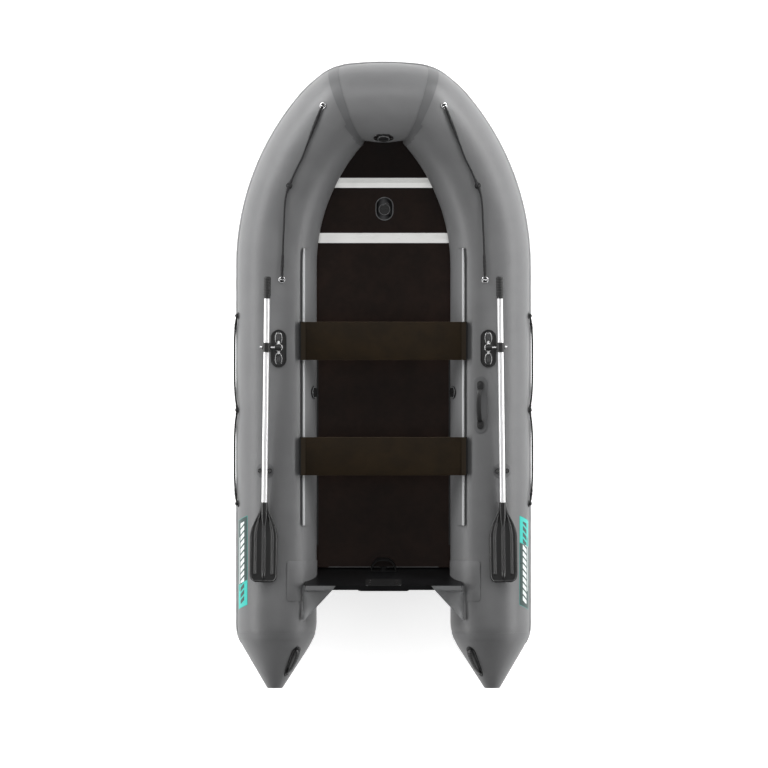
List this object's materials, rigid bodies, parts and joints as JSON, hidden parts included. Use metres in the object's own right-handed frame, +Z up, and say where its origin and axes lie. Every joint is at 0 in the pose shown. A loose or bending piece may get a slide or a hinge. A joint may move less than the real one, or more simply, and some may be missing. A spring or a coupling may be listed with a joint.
{
  "type": "inflatable dinghy",
  "caption": "Open inflatable dinghy with a raised bow, plywood floor, two sliding benches, raked motor transom, grab lines and stowed oars.",
  "frame": {"origin": "on the ground under the centre of the plan", "axes": "+X to starboard, +Y to the bow, +Z up"},
  "size_m": [1.5792, 3.2935, 0.6199],
  "materials": {
    "tube_fabric": "satin",
    "tip_moulding": "satin",
    "baffle_fabric": "matte",
    "bottom_fabric": "satin",
    "strake_rubber": "satin",
    "patch_fabric": "satin",
    "floor_plywood": "satin",
    "mill_aluminium": "satin",
    "transom_board": "satin",
    "pad_plastic": "satin",
    "valve_plastic": "satin",
    "bolt_steel": "polished",
    "track_plastic": "satin",
    "bench_plywood": "satin",
    "clip_plastic": "satin",
    "lock_plastic": "gloss",
    "shaft_aluminium": "satin",
    "grip_rubber": "matte",
    "blade_plastic": "satin",
    "eye_plastic": "satin",
    "rope": "matte"
  },
  "bodies": {
    "hull": {"port_side_tube": "tube_fabric", "starboard_side_tube": "tube_fabric", "port_bow_quarter": "tube_fabric", "starboard_bow_quarter": "tube_fabric", "bow_tube": "tube_fabric", "port_stern_cone": "tube_fabric", "starboard_stern_cone": "tube_fabric", "cone_tips": "tip_moulding", "chamber_baffles": "baffle_fabric", "bottom_skin": "bottom_fabric", "air_keel": "bottom_fabric", "rub_strakes": "strake_rubber", "reinforcing_patches": "patch_fabric", "bow_floor_board": "floor_plywood", "hatch_floor_board": "floor_plywood", "forward_floor_board": "floor_plywood", "middle_floor_board": "floor_plywood", "aft_floor_board": "floor_plywood", "floor_joiners": "mill_aluminium", "side_stringers": "mill_aluminium", "transom_board": "transom_board", "outer_motor_pad": "pad_plastic", "inner_motor_pad": "pad_plastic", "pad_bolts": "bolt_steel", "transom_holders": "patch_fabric", "transom_gussets": "patch_fabric", "drain_housing": "pad_plastic", "seat_tracks": "track_plastic", "port_oarlock_base": "lock_plastic", "starboard_oarlock_base": "lock_plastic", "oar_clips": "clip_plastic", "valve_bodies": "valve_plastic", "towing_and_line_eyes": "eye_plastic", "port_bow_line": "rope", "starboard_bow_line": "rope", "port_side_line": "rope", "starboard_side_line": "rope", "carry_handle": "clip_plastic", "stern_handles": "clip_plastic"},
    "forward_bench": {"forward_bench": "bench_plywood", "forward_bench_slides": "clip_plastic"},
    "aft_bench": {"aft_bench": "bench_plywood", "aft_bench_slides": "clip_plastic"},
    "port_swivel": {"port_swivel": "lock_plastic", "port_cross_pin": "bolt_steel"},
    "port_oar": {"port_oar_collar": "lock_plastic", "port_oar_shaft": "shaft_aluminium", "port_oar_grip": "grip_rubber", "port_oar_blade": "blade_plastic"},
    "starboard_swivel": {"starboard_swivel": "lock_plastic", "starboard_cross_pin": "bolt_steel"},
    "starboard_oar": {"starboard_oar_collar": "lock_plastic", "starboard_oar_shaft": "shaft_aluminium", "starboard_oar_grip": "grip_rubber", "starboard_oar_blade": "blade_plastic"},
    "bow_valve_cap": {"bow_valve_cap": "valve_plastic"},
    "port_valve_cap": {"port_valve_cap": "valve_plastic"},
    "starboard_valve_cap": {"starboard_valve_cap": "valve_plastic"},
    "keel_valve_cap": {"keel_valve_cap": "valve_plastic"},
    "drain_cap": {"drain_cap": "valve_plastic"}
  },
  "joints": [
    {"name": "forward_bench_slide", "type": "slide", "parent": "hull", "child": "forward_bench", "axis": [0, 1, 0], "range_m": [-0.19, 0.28]},
    {"name": "aft_bench_slide", "type": "slide", "parent": "hull", "child": "aft_bench", "axis": [0, 1, 0], "range_m": [-0.25, 0.19]},
    {"name": "starboard_swivel_turn", "type": "hinge", "parent": "hull", "child": "starboard_swivel", "pos_m": [0.55, 0.145, 0.475], "axis": [0, 0, 1], "range_deg": [0, 130]},
    {"name": "port_swivel_turn", "type": "hinge", "parent": "hull", "child": "port_swivel", "pos_m": [-0.55, 0.145, 0.475], "axis": [0, 0, -1], "range_deg": [0, 130]},
    {"name": "starboard_oar_dip", "type": "hinge", "parent": "starboard_swivel", "child": "starboard_oar", "pos_m": [0.61299, 0.14588, 0.475], "axis": [-0.9999, -0.014, 0], "range_deg": [0, 6]},
    {"name": "port_oar_dip", "type": "hinge", "parent": "port_swivel", "child": "port_oar", "pos_m": [-0.61299, 0.14588, 0.475], "axis": [-0.9999, 0.014, 0], "range_deg": [0, 6]},
    {"name": "bow_valve_cap_turn", "type": "hinge", "parent": "hull", "child": "bow_valve_cap", "pos_m": [0, 1.24175, 0.50206], "axis": [0, -0.8988, 0.4384], "range_deg": [0, 90]},
    {"name": "starboard_valve_cap_turn", "type": "hinge", "parent": "hull", "child": "starboard_valve_cap", "pos_m": [0.36729, -0.09, 0.28867], "axis": [-0.9272, 0, 0.3746], "range_deg": [0, 90]},
    {"name": "port_valve_cap_turn", "type": "hinge", "parent": "hull", "child": "port_valve_cap", "pos_m": [-0.36729, -0.09, 0.28867], "axis": [0.9272, 0, 0.3746], "range_deg": [0, 90]},
    {"name": "keel_valve_cap_turn", "type": "hinge", "parent": "hull", "child": "keel_valve_cap", "pos_m": [0.005, 0.87643, 0.10199], "axis": [0, -0.0802, 0.9968], "range_deg": [0, 90]},
    {"name": "drain_cap_turn", "type": "hinge", "parent": "hull", "child": "drain_cap", "pos_m": [0, -1.02727, 0.13217], "axis": [0, 0.9703, 0.2419], "range_deg": [0, 180]}
  ]
}
